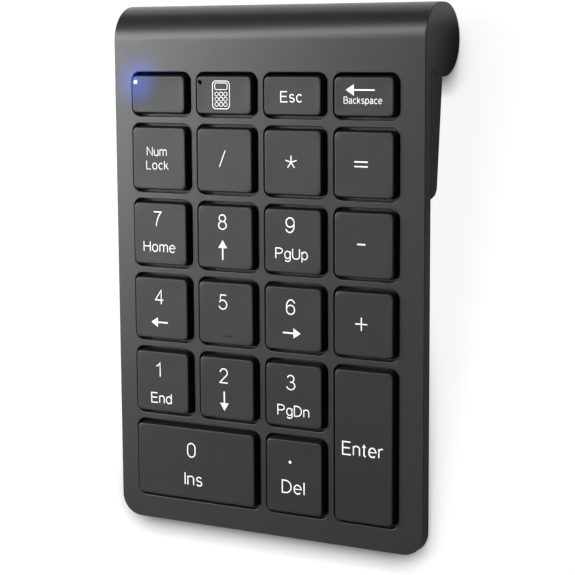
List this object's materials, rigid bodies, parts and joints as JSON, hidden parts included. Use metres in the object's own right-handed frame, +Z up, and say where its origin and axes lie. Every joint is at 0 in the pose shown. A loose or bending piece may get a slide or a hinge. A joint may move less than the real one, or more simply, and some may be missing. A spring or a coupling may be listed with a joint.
{
  "type": "numeric keypad",
  "caption": "Slim wireless numeric keypad: low sprung keys in a thin plate that curls into a round battery barrel, which tilts it on the desk.",
  "frame": {"origin": "centre of the footprint, on the desk surface that its feet stand on", "axes": "+X to the user's right, +Y away from the user towards the battery barrel, +Z up"},
  "size_m": [0.086, 0.1318, 0.0206],
  "materials": {
    "case_plastic": "fine moulded texture, satin",
    "base_plastic": "fine moulded texture, matte",
    "keycap_plastic": "very fine texture, satin",
    "legend": "printed white ink",
    "lens": "clear light guide",
    "link_plastic": "moulded, smooth",
    "dome_rubber": "translucent silicone",
    "membrane_film": "printed film",
    "plate_steel": "stamped",
    "wire_steel": "drawn wire",
    "board": "solder mask",
    "chip_plastic": "moulded",
    "connector_plastic": "moulded",
    "led_lit": "lit blue-white",
    "led_body": "clear resin",
    "knob_plastic": "moulded",
    "cell_wrap": "plain wrapped cell",
    "contact_metal": "nickel plated",
    "screw_steel": "black zinc",
    "foot_rubber": "matte"
  },
  "bodies": {
    "case": {"top_cover": "case_plastic", "bottom_cover": "base_plastic", "outer_scissor_links": "link_plastic", "inner_scissor_links": "link_plastic", "rubber_domes": "dome_rubber", "membrane": "membrane_film", "support_plate": "plate_steel", "circuit_board": "board", "controller_chip": "chip_plastic", "tail_connector": "connector_plastic", "membrane_tail": "membrane_film", "status_led": "led_lit", "num_lock_led": "led_body", "switch_body": "wire_steel", "battery_cell": "cell_wrap", "positive_contact": "contact_metal", "negative_contact": "contact_metal", "battery_spring": "contact_metal", "case_screws": "screw_steel", "front_feet": "foot_rubber", "rear_foot_right": "foot_rubber"},
    "key_blank": {"key_blank": "keycap_plastic", "status_lens": "lens"},
    "key_calculator": {"key_calculator": "keycap_plastic"},
    "key_escape": {"key_escape": "keycap_plastic"},
    "key_backspace": {"key_backspace": "keycap_plastic"},
    "key_num_lock": {"key_num_lock": "keycap_plastic"},
    "key_divide": {"key_divide": "keycap_plastic"},
    "key_multiply": {"key_multiply": "keycap_plastic"},
    "key_equals": {"key_equals": "keycap_plastic"},
    "key_7": {"key_7": "keycap_plastic"},
    "key_8": {"key_8": "keycap_plastic"},
    "key_9": {"key_9": "keycap_plastic"},
    "key_minus": {"key_minus": "keycap_plastic"},
    "key_4": {"key_4": "keycap_plastic"},
    "key_5": {"key_5": "keycap_plastic"},
    "key_6": {"key_6": "keycap_plastic"},
    "key_plus": {"key_plus": "keycap_plastic"},
    "key_1": {"key_1": "keycap_plastic"},
    "key_2": {"key_2": "keycap_plastic"},
    "key_3": {"key_3": "keycap_plastic"},
    "key_enter": {"key_enter": "keycap_plastic"},
    "key_0": {"key_0": "keycap_plastic"},
    "key_decimal": {"key_decimal": "keycap_plastic"},
    "zero_stabilizer": {"zero_stabilizer": "wire_steel"},
    "enter_stabilizer": {"enter_stabilizer": "wire_steel"},
    "battery_door": {"battery_door": "base_plastic", "rear_foot_left": "foot_rubber"},
    "switch_knob": {"switch_knob": "knob_plastic"}
  },
  "joints": [
    {"name": "key_blank_press", "type": "slide", "parent": "case", "child": "key_blank", "axis": [0, 0.1305, -0.9914], "range_m": [0, 0.0013], "stiffness_N_per_m": 300, "springref_m": -0.001, "deforming": ["outer_scissor_links", "inner_scissor_links", "rubber_domes"]},
    {"name": "key_calculator_press", "type": "slide", "parent": "case", "child": "key_calculator", "axis": [0, 0.1305, -0.9914], "range_m": [0, 0.0013], "stiffness_N_per_m": 300, "springref_m": -0.001, "deforming": ["outer_scissor_links", "inner_scissor_links", "rubber_domes"]},
    {"name": "key_escape_press", "type": "slide", "parent": "case", "child": "key_escape", "axis": [0, 0.1305, -0.9914], "range_m": [0, 0.0013], "stiffness_N_per_m": 300, "springref_m": -0.001, "deforming": ["outer_scissor_links", "inner_scissor_links", "rubber_domes"]},
    {"name": "key_backspace_press", "type": "slide", "parent": "case", "child": "key_backspace", "axis": [0, 0.1305, -0.9914], "range_m": [0, 0.0013], "stiffness_N_per_m": 300, "springref_m": -0.001, "deforming": ["outer_scissor_links", "inner_scissor_links", "rubber_domes"]},
    {"name": "key_num_lock_press", "type": "slide", "parent": "case", "child": "key_num_lock", "axis": [0, 0.1305, -0.9914], "range_m": [0, 0.0013], "stiffness_N_per_m": 300, "springref_m": -0.001, "deforming": ["outer_scissor_links", "inner_scissor_links", "rubber_domes"]},
    {"name": "key_divide_press", "type": "slide", "parent": "case", "child": "key_divide", "axis": [0, 0.1305, -0.9914], "range_m": [0, 0.0013], "stiffness_N_per_m": 300, "springref_m": -0.001, "deforming": ["outer_scissor_links", "inner_scissor_links", "rubber_domes"]},
    {"name": "key_multiply_press", "type": "slide", "parent": "case", "child": "key_multiply", "axis": [0, 0.1305, -0.9914], "range_m": [0, 0.0013], "stiffness_N_per_m": 300, "springref_m": -0.001, "deforming": ["outer_scissor_links", "inner_scissor_links", "rubber_domes"]},
    {"name": "key_equals_press", "type": "slide", "parent": "case", "child": "key_equals", "axis": [0, 0.1305, -0.9914], "range_m": [0, 0.0013], "stiffness_N_per_m": 300, "springref_m": -0.001, "deforming": ["outer_scissor_links", "inner_scissor_links", "rubber_domes"]},
    {"name": "key_7_press", "type": "slide", "parent": "case", "child": "key_7", "axis": [0, 0.1305, -0.9914], "range_m": [0, 0.0013], "stiffness_N_per_m": 300, "springref_m": -0.001, "deforming": ["outer_scissor_links", "inner_scissor_links", "rubber_domes"]},
    {"name": "key_8_press", "type": "slide", "parent": "case", "child": "key_8", "axis": [0, 0.1305, -0.9914], "range_m": [0, 0.0013], "stiffness_N_per_m": 300, "springref_m": -0.001, "deforming": ["outer_scissor_links", "inner_scissor_links", "rubber_domes"]},
    {"name": "key_9_press", "type": "slide", "parent": "case", "child": "key_9", "axis": [0, 0.1305, -0.9914], "range_m": [0, 0.0013], "stiffness_N_per_m": 300, "springref_m": -0.001, "deforming": ["outer_scissor_links", "inner_scissor_links", "rubber_domes"]},
    {"name": "key_minus_press", "type": "slide", "parent": "case", "child": "key_minus", "axis": [0, 0.1305, -0.9914], "range_m": [0, 0.0013], "stiffness_N_per_m": 300, "springref_m": -0.001, "deforming": ["outer_scissor_links", "inner_scissor_links", "rubber_domes"]},
    {"name": "key_4_press", "type": "slide", "parent": "case", "child": "key_4", "axis": [0, 0.1305, -0.9914], "range_m": [0, 0.0013], "stiffness_N_per_m": 300, "springref_m": -0.001, "deforming": ["outer_scissor_links", "inner_scissor_links", "rubber_domes"]},
    {"name": "key_5_press", "type": "slide", "parent": "case", "child": "key_5", "axis": [0, 0.1305, -0.9914], "range_m": [0, 0.0013], "stiffness_N_per_m": 300, "springref_m": -0.001, "deforming": ["outer_scissor_links", "inner_scissor_links", "rubber_domes"]},
    {"name": "key_6_press", "type": "slide", "parent": "case", "child": "key_6", "axis": [0, 0.1305, -0.9914], "range_m": [0, 0.0013], "stiffness_N_per_m": 300, "springref_m": -0.001, "deforming": ["outer_scissor_links", "inner_scissor_links", "rubber_domes"]},
    {"name": "key_plus_press", "type": "slide", "parent": "case", "child": "key_plus", "axis": [0, 0.1305, -0.9914], "range_m": [0, 0.0013], "stiffness_N_per_m": 300, "springref_m": -0.001, "deforming": ["outer_scissor_links", "inner_scissor_links", "rubber_domes"]},
    {"name": "key_1_press", "type": "slide", "parent": "case", "child": "key_1", "axis": [0, 0.1305, -0.9914], "range_m": [0, 0.0013], "stiffness_N_per_m": 300, "springref_m": -0.001, "deforming": ["outer_scissor_links", "inner_scissor_links", "rubber_domes"]},
    {"name": "key_2_press", "type": "slide", "parent": "case", "child": "key_2", "axis": [0, 0.1305, -0.9914], "range_m": [0, 0.0013], "stiffness_N_per_m": 300, "springref_m": -0.001, "deforming": ["outer_scissor_links", "inner_scissor_links", "rubber_domes"]},
    {"name": "key_3_press", "type": "slide", "parent": "case", "child": "key_3", "axis": [0, 0.1305, -0.9914], "range_m": [0, 0.0013], "stiffness_N_per_m": 300, "springref_m": -0.001, "deforming": ["outer_scissor_links", "inner_scissor_links", "rubber_domes"]},
    {"name": "key_enter_press", "type": "slide", "parent": "case", "child": "key_enter", "axis": [0, 0.1305, -0.9914], "range_m": [0, 0.0013], "stiffness_N_per_m": 300, "springref_m": -0.001, "deforming": ["outer_scissor_links", "inner_scissor_links", "rubber_domes"]},
    {"name": "key_0_press", "type": "slide", "parent": "case", "child": "key_0", "axis": [0, 0.1305, -0.9914], "range_m": [0, 0.0013], "stiffness_N_per_m": 300, "springref_m": -0.001, "deforming": ["outer_scissor_links", "inner_scissor_links", "rubber_domes"]},
    {"name": "key_decimal_press", "type": "slide", "parent": "case", "child": "key_decimal", "axis": [0, 0.1305, -0.9914], "range_m": [0, 0.0013], "stiffness_N_per_m": 300, "springref_m": -0.001, "deforming": ["outer_scissor_links", "inner_scissor_links", "rubber_domes"]},
    {"name": "zero_stabilizer_turn", "type": "hinge", "parent": "case", "child": "zero_stabilizer", "pos_m": [-0.01965, -0.04837, 0.00438], "axis": [-1, 0, 0], "range_deg": [0, 14.6]},
    {"name": "enter_stabilizer_turn", "type": "hinge", "parent": "case", "child": "enter_stabilizer", "pos_m": [0.02915, -0.04024, 0.00545], "axis": [0, 0.9914, 0.1305], "range_deg": [0, 14.6]},
    {"name": "battery_door_slide", "type": "slide", "parent": "case", "child": "battery_door", "axis": [-1, 0, 0], "range_m": [0, 0.04]},
    {"name": "power_switch_slide", "type": "slide", "parent": "case", "child": "switch_knob", "axis": [1, 0, 0], "range_m": [0, 0.002]}
  ],
  "couplings": [
    {"joint": "zero_stabilizer_turn", "follows": "key_0_press", "rad_per_m": 193.79},
    {"joint": "enter_stabilizer_turn", "follows": "key_enter_press", "rad_per_m": 193.79}
  ]
}
